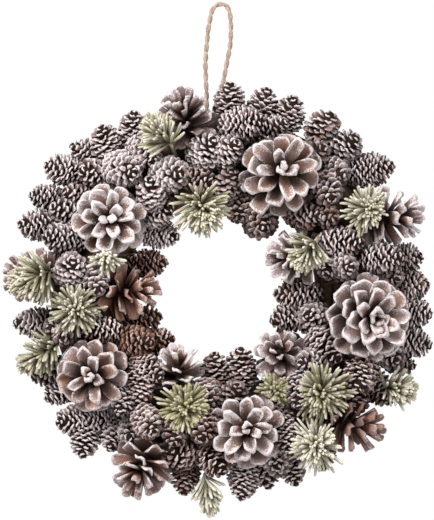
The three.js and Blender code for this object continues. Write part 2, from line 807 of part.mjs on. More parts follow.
function finishFor(node) {
  const kind = Object.keys(FINISH).find((word) => node.startsWith(word) || node.endsWith(word));
  return new THREE.MeshStandardMaterial(FINISH[kind] ?? FINISH.bunch);
}

// The wreath's middle hangs below the nail, with its flat back on the wall
const wreath = new THREE.Group();
wreath.position.set(0, WALL_OFFSET, -WREATH_DROP);
for (const [node, solid] of pieces) {
  const mesh = new THREE.Mesh(toGeometry(largestBody(solid)), finishFor(node));
  mesh.name = node;
  wreath.add(mesh);
}

const model = new THREE.Group();
model.add(wreath);

export default model;
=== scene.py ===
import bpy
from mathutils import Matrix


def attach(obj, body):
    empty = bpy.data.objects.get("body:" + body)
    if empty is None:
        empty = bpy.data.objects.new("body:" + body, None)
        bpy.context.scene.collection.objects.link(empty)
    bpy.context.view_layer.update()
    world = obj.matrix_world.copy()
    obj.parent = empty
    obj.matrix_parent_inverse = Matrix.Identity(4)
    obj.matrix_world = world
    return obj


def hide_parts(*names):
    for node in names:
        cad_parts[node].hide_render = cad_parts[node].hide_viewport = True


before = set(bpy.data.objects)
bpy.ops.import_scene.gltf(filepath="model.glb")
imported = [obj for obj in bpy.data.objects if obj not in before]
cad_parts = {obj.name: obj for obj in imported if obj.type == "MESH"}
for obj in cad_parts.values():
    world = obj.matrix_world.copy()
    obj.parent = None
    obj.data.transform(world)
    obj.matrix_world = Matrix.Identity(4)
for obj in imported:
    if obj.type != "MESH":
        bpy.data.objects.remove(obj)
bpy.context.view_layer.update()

import itertools
import math
from collections import namedtuple

import bpy
import numpy as np
from mathutils import Vector

# A pinecone wreath hanging on a wall. Lengths are millimetres, from the wreath's middle and the
# wall, as in the part's source; add_piece moves the meshes to the frame's metres. A heading is the
# way a cone or sprig points as seen from the front, in degrees from +X up to +Z, and its lean is
# how far it then tilts towards the viewer.
MM = 0.001
WREATH_DROP = 246
WALL_OFFSET = 4.5
FRAME_SHIFT = np.array([0, WALL_OFFSET, -WREATH_DROP])
UP = np.array([0, 0, 1.0])
FULL_TURN = 2 * math.pi
GOLDEN_ANGLE = math.pi * (3 - math.sqrt(5))

# The ring's radii, the depth of its sides and its depth in the middle
RING_INNER = 82
RING_OUTER = 148
RING_MIDDLE = (RING_INNER + RING_OUTER) / 2
RING_SIDE = 10
RING_DEPTH = 34

# A cone sinks into the ring a little and bears on it with part of its width, or its scale tips stay
# clear of the wall
SINK = 4
BEARING_WIDTH = 0.9
WALL_CLEARANCE = 5
TIP_WIDTH = 1.12

# Camera: straight on, CAMERA_DISTANCE metres away, at the photograph's scale in the cones' plane
PHOTO_SCALE = 0.86
PHOTO_HEIGHT = 520
SENSOR_SIZE = 36
CAMERA_DISTANCE = 6
CAMERA_X = -4.3
CAMERA_Z = -219.3
CONE_PLANE = 40

camera_data = bpy.data.cameras.new("camera")
camera = bpy.data.objects.new("camera", camera_data)
bpy.context.scene.collection.objects.link(camera)
camera_data.sensor_width = SENSOR_SIZE
camera_data.lens = SENSOR_SIZE * CAMERA_DISTANCE / (PHOTO_HEIGHT * PHOTO_SCALE * MM)
camera_data.clip_start = 0.1
camera_data.clip_end = 20
camera.location = (
    CAMERA_X * MM, (WALL_OFFSET - CONE_PLANE) * MM - CAMERA_DISTANCE, CAMERA_Z * MM,
)
camera.rotation_euler = (math.pi / 2, 0, 0)
bpy.context.scene.camera = camera

# The rope's middle line, x and z from the nail: up from behind the cones, over the nail and down
ROPE_ROUTE = [
    (-13.6, -97.6), (-13.2, -88), (-13.2, -78), (-13.9, -64.5), (-14.2, -47.3), (-13.3, -34.4),
    (-12, -21.5), (-10.3, -11), (-8.3, -3.2), (-4.5, 1.1), (-0.6, 2), (3.5, 0.8), (6.5, -4.4),
    (7.6, -13.5), (7.7, -23.3), (7.2, -32), (5.8, -41), (4, -49.6), (2.6, -58), (0.6, -67),
    (-2.2, -77), (-5.6, -88), (-8.4, -97.3),
]

# Cones: x and z of the tip, heading, lean, length, width and how far the cone is lifted off the
# ring; for the large and open ones then how white the frost is, how warm the wood is and how many
# scales there are
LARGE_CONES = {
    "large_cone_top_right": (52, 108, 76, 78, 52, 74, 0, 0.8, 0.42, 31),
    "large_cone_top_left": (-94, 63, 40, 84, 50, 65, 0, 1.55, 0.45, 28),
    "large_cone_right": (136, -25, -8, 72, 52, 76, 0, 0.75, 0.3, 40),
    "large_cone_left": (-115, -74, 200, 81, 50, 67, 0, 0.6, 0.5, 30),
    "large_cone_bottom": (22, -117, 60, 86, 50, 67, 4, 0.95, 0.35, 29),
}
OPEN_CONES = {
    "open_cone_top": (-37, 171, 105, 32, 50, 52, 3, 0.45, 0.15, 34),
    "open_cone_right": (173, 66, 4, 14, 54, 54, 0, 0.95, 0.15, 30),
    "open_cone_left_inner": (-55, 2, 5, 25, 50, 50, -3, 0.3, 0.75, 30),
    "open_cone_right_inner": (44, 28, 184, 40, 46, 52, -3, 1.1, 0.2, 28),
    "open_cone_bottom_inner": (47, -49, 120, 68, 36, 50, -2, 0.82, 0.24, 26),
    "open_cone_bottom_left_inner": (-36, -49, 86, 28, 42, 48, -2, 1.2, 0.4, 24),
    "open_cone_bottom_right": (139, -121, -12, 16, 54, 53, 0, 0.02, 0.34, 34),
    "open_cone_bottom_left": (-77, -168, -116, 42, 46, 56, -2, 0.55, 0.45, 32),
    "open_cone_left": (-187, 12, 180, 4, 44, 50, 0, 0.35, 0.35, 30),
}
CONE_BUNCHES = {
    "bunch_top": [
        (7, 181, 88, 12, 38, 27, 3), (37, 147, 12, 22, 42, 31, 4),
        (40, 176, 72, 12, 38, 25, 0), (62, 169, 76, 20, 36, 25, 0),
        (56, 146, 30, 30, 40, 26, 0),
    ],
    "bunch_top_right": [
        (94, 154, 64, 30, 38, 29, 0), (117, 134, 42, 35, 40, 28, 0),
        (104, 99, -20, 60, 34, 26, 0), (88, 124, 40, 50, 34, 26, 0),
        (95, 78, -60, 50, 36, 28, 0), (149, 108, 10, 15, 44, 28, 0),
    ],
    "bunch_right_inner_top": [(97, 61, -30, 55, 30, 22, 0), (86, 64, -5, 40, 40, 24, 0)],
    "bunch_top_middle": [
        (-7, 131, 60, 50, 38, 30, -2),
        (14, 128, 40, 45, 38, 26, 0),
    ],
    "bunch_inner_top": [
        (8, 104, 75, 45, 38, 26, 0), (16, 62, -80, 50, 38, 28, 0), (37, 53, -60, 62, 36, 30, 0),
        (-6, 92, -20, 30, 38, 24, 0),
    ],
    "bunch_right_front": [
        (122, 42, 0, 20, 42, 26, 0), (112, 20, -10, 60, 34, 25, 0),
        (88, 14, -120, 50, 34, 24, 0),
    ],
    "bunch_right_middle": [(158, 28, 0, 15, 40, 26, 8), (152, 10, -30, 55, 32, 22, 0)],
    "bunch_right_outer": [
        (174, 30, 9, 5, 34, 27, 0), (180, 5, 2, 5, 34, 27, 0), (182, -21, -7, 5, 34, 27, 0),
    ],
    "bunch_right_low": [
        (182, -47, -8, 5, 34, 25, 0), (150, -60, -45, 75, 32, 23, 0),
        (168, -66, -15, 5, 32, 20, 0),
    ],
    "bunch_inner_right": [
        (44, -2, 176, 12, 44, 26, 0), (41, -26, 190, 22, 38, 25, 0), (72, -20, 150, 65, 36, 28, 0),
    ],
    "bunch_inner_right_low": [
        (101, -60, -45, 30, 40, 28, 0),
        (66, -62, 190, 45, 36, 26, 0), (66, -100, -95, 40, 38, 26, 0),
    ],
    "bunch_lower_right": [
        (115, -86, -105, 35, 40, 29, 4), (115, -106, -85, 40, 38, 26, 0),
        (146, -98, -50, 10, 36, 25, 0),
    ],
    "bunch_bottom_right": [
        (56, -140, -80, 20, 46, 22, 0), (48, -152, -90, 70, 34, 26, 0),
        (64, -168, -75, 25, 34, 22, 0),
    ],
    "bunch_bottom": [(40, -172, -85, 10, 34, 22, 0), (17, -181, -95, 15, 38, 26, 0)],
    "bunch_bottom_right_outer": [(87, -156, -90, 12, 42, 24, -1)],
    "bunch_bottom_inner": [
        (15, -48, 95, 20, 40, 27, 0), (-6, -52, 92, 20, 36, 24, 0), (-8, -98, -60, 60, 34, 27, 0),
        (14, -80, 70, 45, 38, 27, 0),
    ],
    "bunch_bottom_middle": [
        (2, -157, -55, 35, 38, 28, 0), (-47, -134, 150, 50, 36, 29, 0),
        (-33, -177, -95, 10, 34, 24, 0), (-18, -128, -110, 50, 38, 28, 0),
        (-42, -132, -100, 45, 34, 24, 0),
    ],
    "bunch_lower_left_inner": [
        (-72, -102, -92, 15, 44, 26, 0), (-58, -122, -55, 50, 38, 27, 4),
        (-88, -106, -100, 40, 38, 24, 0), (-52, -76, -35, 35, 36, 26, 0),
    ],
    "bunch_bottom_left": [(-80, -127, -100, 65, 32, 22, 0), (-97, -138, -105, 30, 36, 24, 0)],
    "bunch_lower_left": [
        (-123, -113, 185, 20, 38, 24, 0), (-121, -144, -100, 25, 36, 25, 0),
        (-143, -114, 190, 30, 36, 25, 0),
    ],
    "bunch_left_low": [(-153, -95, 212, 10, 36, 23, 0), (-165, -76, 202, 10, 36, 24, 0)],
    "bunch_left": [
        (-181, -28, 183, 8, 40, 25, 0), (-150, -33, 190, 50, 30, 23, 0),
        (-136, -42, -100, 70, 32, 22, 0),
    ],
    "bunch_left_inner_top": [(-121, -34, 180, 20, 36, 22, 0)],
    "bunch_left_inner": [
        (-59, -44, 0, 40, 38, 27, 0), (-51, -21, 15, 10, 36, 24, 0), (-40, -41, 8, 10, 36, 24, 0),
    ],
    "bunch_left_front": [
        (-154, 47, 175, 30, 42, 26, 0), (-128, 27, 85, 60, 38, 29, 0),
        (-106, -2, -75, 45, 34, 24, 0),
    ],
    "bunch_upper_left_outer": [
        (-177, 57, 180, 8, 38, 26, 0), (-147, 73, 155, 40, 38, 25, 0),
        (-167, 83, 172, 8, 34, 22, 0), (-137, 86, 165, 40, 34, 22, 0),
    ],
    "bunch_upper_left": [
        (-154, 109, 165, 12, 36, 26, 0), (-122, 104, 170, 45, 36, 25, 0),
        (-132, 126, 160, 10, 32, 20, 0), (-104, 143, 105, 30, 38, 26, 0),
        (-76, 156, 90, 20, 38, 25, 0),
    ],
    "bunch_upper_left_front": [(-74, 101, -20, 55, 38, 31, 0), (-57, 111, -42, 45, 36, 26, 0)],
    "bunch_inner_left_top": [
        (-34, 101, 5, 55, 38, 30, 0), (-62, 97, 95, 45, 36, 26, 0),
        (-42, 72, 20, 35, 34, 24, 0), (-36, 46, -10, 10, 38, 24, 0),
    ],
    "bunch_inner_left": [(-46, 25, 5, 8, 38, 24, 0)],
}
# Frost and warmth of the bunches that differ from the usual look
BUNCH_LOOKS = {
    "bunch_top": (1.0, 0.2),
    "bunch_top_right": (0.68, 0.2),
    "bunch_upper_left": (1.3, 0.2),
    "bunch_upper_left_outer": (0.9, 0.2),
    "bunch_upper_left_front": (2.4, 0.2),
    "bunch_inner_left_top": (2.0, 0.3),
    "bunch_inner_left": (0.3, 0.85),
    "bunch_top_middle": (1.3, 0.25),
    "bunch_inner_top": (0.55, 0.35),
    "bunch_right_inner_top": (0.45, 0.4),
    "bunch_right_front": (1.05, 0.25),
    "bunch_right_outer": (0.75, 0.2),
    "bunch_right_middle": (0.95, 0.2),
    "bunch_left_inner": (0.18, 0.85),
    "bunch_left_inner_top": (0.7, 0.6),
    "bunch_left_front": (0.95, 0.2),
    "bunch_lower_left_inner": (1.05, 0.35),
    "bunch_lower_left": (1.45, 0.2),
    "bunch_bottom_left": (2.2, 0.25),
    "bunch_bottom": (1.2, 0.35),
    "bunch_bottom_inner": (0.55, 0.3),
    "bunch_bottom_middle": (0.5, 0.45),
    "bunch_bottom_right": (1.6, 0.4),
    "bunch_lower_right": (0.8, 0.5),
}
USUAL_LOOK = (0.85, 0.18)

# Sprigs: x, z and depth of the start, heading, lean, reach of the needles, their spread in degrees,
# the core's share of the reach, how many needles, the stem's root as x, z and depth, then how pale
# and how yellow the needles are
SPRIGS = {
    "sprig_top_left": (-44, 126, 58, 133, 16, 30, 66, 0.6, 118, (-39, 114, 30.5), 0.55, 0.4),
    "sprig_inner_top": (-20, 79, 54, -72, 48, 33, 78, 0.65, 177, (-23, 91, 25), 0.5, 0.75),
    "sprig_right": (125, 70, 52, 0, 84, 28, 88, 0.42, 122, (117, 71, 24.5), 0.5, 0.4),
    "sprig_inner_right": (80, 43, 66, 232, 20, 26, 66, 0.75, 106, (85, 49, 27), 0.55, 0.5),
    "sprig_left": (-147, 18, 54, 204, 14, 33, 68, 0.7, 147, (-138.5, 18, 23), 0.5, 0.4),
    "sprig_left_front": (-126, -15, 46, 0, 86, 31, 88, 0.42, 132, (-122, -10, 30), 0.45, 0.4),
    "sprig_left_small": (-99, 29, 58, 90, 82, 21, 85, 0.42, 84, (-101, 26.5, 29.5), 0.65, 0.35),
    "sprig_left_low": (-142, -46, 34, 212, 12, 27, 72, 1.05, 106, (-136, -42, 20.4), 0.42, 0.4),
    "sprig_bottom_left": (-32, -100, 46, 0, 86, 31, 88, 0.42, 132, (-36.5, -100.5, 30), 0.3, 0.85),
    "sprig_bottom_small": (44, -86, 50, 60, 80, 19, 85, 0.42, 84, (44, -89, 28), 0.24, 0.5),
    "sprig_bottom_right": (86, -85, 50, 250, 78, 34, 88, 0.42, 141, (85.5, -82, 30.5), 0.4, 0.5),
    "sprig_bottom_right_low": (
        82, -131, 42, 210, 78, 32, 88, 0.42, 132, (78, -117.5, 21), 0.75, 0.3,
    ),
    "sprig_right_low": (141, -83, 32, -6, 25, 24, 66, 0.75, 99, (128.8, -53, 23), 0.55, 0.4),
    "sprig_bottom": (-15, -158, 28, -80, 12, 24, 48, 1.1, 82, (5, -143, 19), 0.6, 0.35),
}


# Meshes. A part is a dict of points, triangles and three values for each point: frost is how near a
# frosted rim it is, warm is how brown its wood is and shade is painted light and shade: how light
# the point is painted, darker at scale and needle roots, in cone cores and crevices and on the
# sides turned from the light.
POINT_VALUES = ("frost", "warm", "shade")


def part_of(points, faces, frost, warm, shade):
    part = {"points": points, "faces": faces}
    for key, value in zip(POINT_VALUES, (frost, warm, shade)):
        part[key] = np.broadcast_to(np.asarray(value, float), (len(points),)).copy()
    return part


def merged(parts):
    starts = np.cumsum([0, *(len(part["points"]) for part in parts[:-1])])
    keys = ("points", *POINT_VALUES)
    whole = {key: np.concatenate([part[key] for part in parts]) for key in keys}
    whole["faces"] = np.concatenate([part["faces"] + start for part, start in zip(parts, starts)])
    return whole


def add_piece(name, parts, material, node):
    whole = merged(parts)
    points, faces = (whole["points"] + FRAME_SHIFT) * MM, whole["faces"]
    mesh = bpy.data.meshes.new(name)
    mesh.vertices.add(len(points))
    mesh.vertices.foreach_set("co", points.ravel())
    mesh.loops.add(faces.size)
    mesh.loops.foreach_set("vertex_index", faces.ravel())
    mesh.polygons.add(len(faces))
    mesh.polygons.foreach_set("loop_start", np.arange(0, faces.size, faces.shape[1]))
    mesh.polygons.foreach_set("use_smooth", np.ones(len(faces), bool))
    for key in POINT_VALUES:
        mesh.attributes.new(key, "FLOAT", "POINT").data.foreach_set("value", whole[key])
    mesh.update(calc_edges=True)
    mesh.validate()
    mesh.materials.append(material)
    piece = bpy.data.objects.new(name, mesh)
    bpy.context.scene.collection.objects.link(piece)
    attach(piece, "root")
    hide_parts(node)
    return piece


def quad_triangles(a, b, c, d):
    return np.stack([a, b, c, a, c, d], axis=-1).reshape(-1, 3)


# Triangles between rings of points, each ring closed on itself and joined to the next
def ring_triangles(rings, sides):
    i, j = np.meshgrid(np.arange(rings - 1), np.arange(sides), indexing="ij")
    k = (j + 1) % sides
    return quad_triangles(i * sides + j, i * sides + k, (i + 1) * sides + k, (i + 1) * sides + j)


# A fan of triangles from a ring of points to one beyond it
def fan_triangles(first, sides, point):
    j = np.arange(sides)
    return np.stack([first + j, first + (j + 1) % sides, np.full(sides, point)], axis=1)


# The same triangles for many like shapes, whose points follow each other
def repeated(triangles, count, size):
    return (triangles[None] + (np.arange(count) * size)[:, None, None]).reshape(-1, 3)


def unit(vectors):
    return vectors / np.linalg.norm(vectors, axis=-1, keepdims=True)


# A tube along points, with a radius for each point, closed at both ends. It starts from a side that
# no tube here points along.
TUBE_SIDE = (0.3, 0.2, 0.93)


def tube(path, radii, sides):
    path = np.asarray(path, float)
    count = len(path)
    along = unit(np.gradient(path, axis=0))
    side = np.cross(along[0], TUBE_SIDE)
    turns = np.arange(sides) * FULL_TURN / sides
    rings = []
    for middle, direction, radius in zip(path, along, np.broadcast_to(radii, (count,))):
        side = unit(side - direction * side.dot(direction))
        other = np.cross(direction, side)
        around = np.outer(np.cos(turns), side) + np.outer(np.sin(turns), other)
        rings.append(middle + radius * around)
    points = np.concatenate([*rings, path[:1], path[-1:]])
    ends = count * sides
    near_cap = fan_triangles(0, sides, ends)[:, [1, 0, 2]]
    far_cap = fan_triangles(ends - sides, sides, ends + 1)
    return points, np.concatenate([ring_triangles(count, sides), near_cap, far_cap])


# Many cone scales at once. Each has a root, a direction along it, a side across it and a normal on
# its upper face. The grid's lines run along (u) and across (v); the upper and lower faces meet at
# the sides. rim is how far a point lies from the edge, and face is 1 above and -1 below.
Blades = namedtuple("Blades", "points faces rim u face size")
END_ROUNDING = 0.97
FULL_WIDTH_AT = 0.75
NECK_POWER = 1.3
LIP_FROM = 0.5
WAVE_RATE = 4.2


def scales(root, along, side, normal, length, width, shape, phase):
    u, v = np.array(shape["u"]), np.array(shape["v"])
    under = v[-2:0:-1]
    uu, vv = np.meshgrid(u, np.concatenate([v, under]), indexing="ij")
    face = np.broadcast_to(np.concatenate([np.ones(len(v)), -np.ones(len(under))]), uu.shape)
    lengths, widths, phases = (value[:, None, None] for value in (length, width, phase))

    forward = uu * (1 - shape["round"] * (1 - np.sqrt(1 - END_ROUNDING * vv**2)))
    widening = np.sin(0.5 * math.pi * np.clip(uu / FULL_WIDTH_AT, 0, 1)) ** NECK_POWER
    neck = shape["neck"] + (1 - shape["neck"]) * widening
    full = shape["thickness"] * np.sqrt(np.clip(1 - np.abs(vv) ** shape["blunt"], 0, 1))
    thick = 0.5 * face * full * (1 - (1 - shape["end"]) * uu**4)
    lift = shape["curl"] * lengths * uu**2 + shape["cup"] * widths * vv**2 * uu
    lift = lift + shape["lip"] * widths * np.clip((uu - LIP_FROM) / (1 - LIP_FROM), 0, 1) ** 2
    lift = lift + shape["wave"] * widths * uu**2 * np.sin(WAVE_RATE * vv + phases)
    points = (
        root[:, None, None, :]
        + along[:, None, None, :] * (lengths * forward)[..., None]
        + side[:, None, None, :] * (widths * 0.5 * neck * vv)[..., None]
        + normal[:, None, None, :] * (lift + thick)[..., None]
    )

    # The blade's end is closed between its upper and its lower edge, which meet at the sides
    rows, ring = uu.shape
    upper = np.arange(len(v))
    lower = np.where((upper == 0) | (upper == len(v) - 1), upper, ring - upper)
    cap = quad_triangles(upper[:-1], upper[1:], lower[1:], lower[:-1])
    cap = cap[(cap[:, 0] != cap[:, 2]) & (cap[:, 1] != cap[:, 2])]
    triangles = np.concatenate([ring_triangles(rows, ring), (rows - 1) * ring + cap])

    rim = np.minimum((1 - uu) * lengths, (1 - np.abs(vv)) * 0.5 * neck * widths)
    everywhere = points.shape[:3]
    return Blades(
        points.reshape(-1, 3), repeated(triangles, len(root), uu.size), rim.reshape(-1),
        np.broadcast_to(uu, everywhere).reshape(-1), np.broadcast_to(face, everywhere).reshape(-1),
        uu.size,
    )


# The direction of a heading and a lean
def lean_direction(heading, lean):
    turn, rise = math.radians(heading), math.radians(lean)
    return np.array([
        math.cos(rise) * math.cos(turn), -math.sin(rise), math.cos(rise) * math.sin(turn),
    ])


# How far the ring's surface stands from the wall at a radius
def ring_surface(radius):
    across = (radius - RING_MIDDLE) / (RING_OUTER - RING_MIDDLE)
    if abs(across) >= 1:
        return 0
    return RING_SIDE + (RING_DEPTH - RING_SIDE) * math.sqrt(1 - across * across)


# A cone of the tables, with its middle, its direction and the turn that brings +Z along it
class Cone:
    def __init__(self, tip_x, tip_z, heading, lean, length, width, lift, *look):
        self.length, self.width, self.look = length, width, look
        self.direction = lean_direction(heading, lean)
        x = tip_x - self.direction[0] * length / 2
        z = tip_z - self.direction[2] * length / 2
        forward = abs(self.direction[1])
        flat = math.sqrt(1 - forward * forward)
        support = ring_surface(math.hypot(x, z)) - SINK
        seated = support + width / 2 * BEARING_WIDTH * flat + length / 2 * forward
        clear = WALL_CLEARANCE + width / 2 * TIP_WIDTH * flat + length / 2 * forward
        self.middle = np.array([x, -max(seated, clear) - lift, z])
        self.turn = np.array(Vector(UP).rotation_difference(Vector(self.direction)).to_matrix())

    def place(self, points):
        return points @ self.turn.T + self.middle


# How far a point's surface faces the front, where the frost was sprayed from, from 0 to 1
def facing_front(points, faces):
    a, b, c = points[faces[:, 0]], points[faces[:, 1]], points[faces[:, 2]]
    normals = np.cross(b - a, c - a)
    total = np.zeros_like(points)
    for corner in range(3):
        np.add.at(total, faces[:, corner], normals)
    total /= np.linalg.norm(total, axis=1)[:, None] + 1e-12
    return np.clip(0.5 - 0.5 * total[:, 1], 0, 1)


# Painted light: how far directions in a cone's own frame face the front and the light, from 0 to
# 1. The frost and light of the scales are painted lower on the side of a cone turned from it.
LIT_FROM = np.array([-0.1, -0.95, 0.25])
LIT_ROUND = 0.15


def painted_light_share(directions, cone):
    return np.clip(LIT_ROUND + unit(directions @ cone.turn.T) @ LIT_FROM, 0, 1)


# 0 near a scale's root, 1 near its tip
def outer_part(u):
    share = np.clip((u - 0.3) / 0.5, 0, 1)
    return share * share * (3 - 2 * share)


# Outward and sideways directions round +Z, each turned by the golden angle from the one before
def golden_frames(count):
    angle = np.arange(count) * GOLDEN_ANGLE
    out = np.stack([np.cos(angle), np.sin(angle), 0 * angle], axis=1)
    return out, np.cross(UP, out)


# The way along scales that rise by an angle from outward directions, and their upper face's normal
def raised(out, angle):
    run, rise = np.cos(angle)[:, None], np.sin(angle)[:, None]
    return out * run + UP * rise, UP * run - out * rise


# Turns each scale a little about its own length
def twisted(side, normal, angle):
    c, s = np.cos(angle)[:, None], np.sin(angle)[:, None]
    return side * c + normal * s, normal * c - side * s


# A tube on a cone's axis, with a radius at each share of the cone's length
def core_of(cone, heights, radii, sides, frost, warm, shade):
    path = np.stack([0 * heights, 0 * heights, cone.length * (heights - 0.5)], axis=1)
    points, faces = tube(path, radii, sides)
    return part_of(cone.place(points), faces, frost, warm, shade)


# Small cones are eggs covered with scales: the egg's radius at a share t of its height
EGG_SKEW = 0.8
EGG_BLUNTNESS = 0.42
EGG_FULLNESS = 0.8


def egg_radius(t):
    return np.sin(math.pi * np.clip(t, 0, 1) ** EGG_SKEW) ** EGG_BLUNTNESS


# The area of an egg to one scale, how much wider than that its scales are, and their rise: at the
# base, what it gains up to the tip and what closing adds, in degrees
SMALL_SCALE_AREA = (19, 28)
SMALL_OVERLAP = 1.27
BASE_RISE = 5
TIP_RISE = 34
CLOSED_RISE = 18
# How far cones are open in degrees, and how the scales of one cone vary: how far they stand out,
# their rise in degrees, their twist, length and width
SMALL_OPENNESS = (-10, 10)
SMALL_STAND = (0.95, 1.15)
SMALL_RISE = 9
SMALL_TWIST = 0.26
SMALL_LENGTH = (0.9, 1.08)
SMALL_WIDTH = (0.78, 1.24)
SMALL_RIM = 2.5
SMALL_BLADE = {
    "u": (0, 0.6, 0.9, 1), "v": (-1, -0.55, 0, 0.55, 1), "round": 0.24, "neck": 0.55,
    "thickness": 1.6, "blunt": 3, "end": 0.75, "curl": -0.09, "cup": 0.1, "lip": 0, "wave": 0.1,
}
# From here to its tip a small cone closes
CLOSING_FROM = 0.86
SMALL_CORE_HEIGHTS = np.linspace(0.02, 0.97, 9)
SMALL_CORE_WIDTH = 0.62
# How much the looks of the cones, and of the scales of one cone, differ
CONE_VARIETY = 0.1
SCALE_VARIETY = 0.12
# Above this frost lies further down on the scales
HEAVY_FROST = 0.6


def small_cone(cone, rng, frost, warm):
    length, width = cone.length, cone.width
    frost = frost + rng.normal(0, CONE_VARIETY)
    warm = warm + rng.normal(0, CONE_VARIETY)
    area_each = rng.uniform(*SMALL_SCALE_AREA)
    count = int(math.pi * length * width * EGG_FULLNESS / area_each)
    # The heights at which the scales share the egg's side evenly
    grid = np.linspace(0.015, 0.985, 400)
    area = np.cumsum(egg_radius(grid) + 0.12)
    t = np.interp((np.arange(count) + 0.5) / count, area / area[-1], grid)
    girth = egg_radius(t)
    openness = rng.uniform(*SMALL_OPENNESS)
    out, side = golden_frames(count)
    closing = np.clip((t - CLOSING_FROM) / (1 - CLOSING_FROM), 0, 1)
    radius = 0.5 * width * girth * rng.uniform(*SMALL_STAND, count)
    radius = radius * (1 + 0.14 * t**2) * (1 - 0.66 * closing)
    height = length * (t - 0.5 + 0.03 * closing)
    rise = BASE_RISE + TIP_RISE * t + CLOSED_RISE * closing - openness * (1 - closing)
    along, normal = raised(out, np.radians(rise + rng.normal(0, SMALL_RISE, count)))
    side, normal = twisted(side, normal, rng.normal(0, SMALL_TWIST, count))
    scale_length = 0.18 * width * (1 + girth) * rng.uniform(*SMALL_LENGTH, count)
    scale_width = SMALL_OVERLAP * math.sqrt(area_each) * (0.6 + 0.4 * girth)
    scale_width = scale_width * rng.uniform(*SMALL_WIDTH, count)
    tip = out * radius[:, None] + UP * height[:, None]
    root = tip - along * scale_length[:, None]
    phase = rng.uniform(0, FULL_TURN, count)
    blades = scales(root, along, side, normal, scale_length, scale_width, SMALL_BLADE, phase)

    placed, u, size = cone.place(blades.points), blades.u, blades.size
    front = facing_front(placed, blades.faces)
    bright = np.repeat(rng.normal(0, SCALE_VARIETY, count), size)
    warmer = np.repeat(rng.normal(0, SCALE_VARIETY, count), size)
    # Painted light and shade: the side of the cone turned from the light gets less frost and is
    # darker
    outward = out * radius[:, None] / width**2 + UP * height[:, None] / length**2
    painted_light = np.repeat(painted_light_share(outward, cone), size)
    spill = 0.35 * max(frost - HEAVY_FROST, 0)
    near_tip = np.repeat(t, size)
    rim_frost = (1 - blades.rim / SMALL_RIM) * (0.5 + 0.6 * front) * (0.62 + 0.95 * frost)
    white = rim_frost + 0.4 * front * near_tip**3 + bright
    white = white * outer_part(u + spill + 0.35 * near_tip**5) * (0.45 + 0.55 * painted_light)
    brown = warm + 0.25 * (blades.face < 0) + 0.4 * (1 - u) + warmer
    # Painted shade: darker towards the scale roots; lighter near the cone's tip and where frost
    # spills
    light = 0.12 + 0.8 * spill + 0.4 * near_tip**5 + 0.9 * u**1.3 + bright * u
    light = light * (0.42 + 0.58 * painted_light)
    blade = part_of(
        placed, blades.faces, np.clip(white, 0, 1), np.clip(brown, 0, 1), np.clip(light, 0.02, 1),
    )
    # The core is painted nearly black, as painted shade deep between the scales
    core_radii = 0.5 * width * SMALL_CORE_WIDTH * egg_radius(SMALL_CORE_HEIGHTS)
    return [blade, core_of(cone, SMALL_CORE_HEIGHTS, core_radii, 10, 0, 1, 0.06)]


# The larger cones: whorls gives the height, core radius, reach and rise of the scales from base to
# tip, in lengths, widths and degrees. A scale is breadth widths wide, evenness above 1 puts more
# scales near the base, and rim is how deep the frost reaches in from the edge. hollow is the
# power of the painted shade that darkens the scales towards their roots.
LARGE_STYLE = {
    "whorls": np.array([
        (0.08, 0.24, 0.49, -4), (0.18, 0.23, 0.51, 10), (0.33, 0.18, 0.47, 28),
        (0.45, 0.08, 0.48, 37), (0.53, 0.03, 0.45, 50), (0.62, 0.01, 0.17, 80),
    ]),
    "breadth": 0.26, "evenness": 1.25, "rim": 7, "twist": 0.22, "hollow": 1.8,
    "blade": {
        "u": (0, 0.3, 0.55, 0.74, 0.88, 0.96, 1),
        "v": (-1, -0.94, -0.78, -0.42, 0, 0.42, 0.78, 0.94, 1),
        "round": 0.2, "neck": 0.5, "thickness": 4.2, "blunt": 4, "end": 0.9, "curl": -0.06,
        "cup": 0.26, "lip": 0.14, "wave": 0.12,
    },
}
OPEN_STYLE = {
    "whorls": np.array([
        (0.06, 0.15, 0.45, -6), (0.16, 0.15, 0.52, 6), (0.34, 0.14, 0.5, 24),
        (0.52, 0.12, 0.46, 46), (0.64, 0.08, 0.38, 76),
    ]),
    "breadth": 0.28, "evenness": 0.94, "rim": 8, "twist": 0.42, "hollow": 1.0,
    "blade": {
        "u": (0, 0.35, 0.6, 0.8, 0.93, 1), "v": (-1, -0.9, -0.5, 0, 0.5, 0.9, 1),
        "round": 0.18, "neck": 0.8, "thickness": 2.6, "blunt": 4, "end": 0.8, "curl": -0.05,
        "cup": 0.16, "lip": 0.08, "wave": 0.14,
    },
}
BIG_LENGTH = (0.92, 1.06)
BIG_WIDTH = (0.8, 1.12)
BIG_RISE = 7
BIG_VARIETY = 0.1
# A scale's root lies inside the core, a little above its whorl
ROOT_DEPTH = 0.6
ROOT_ABOVE = 0.06
# No scale stands further forward than this share of the length, so the cone keeps its solid's depth
FORWARD_LIMIT = 0.54


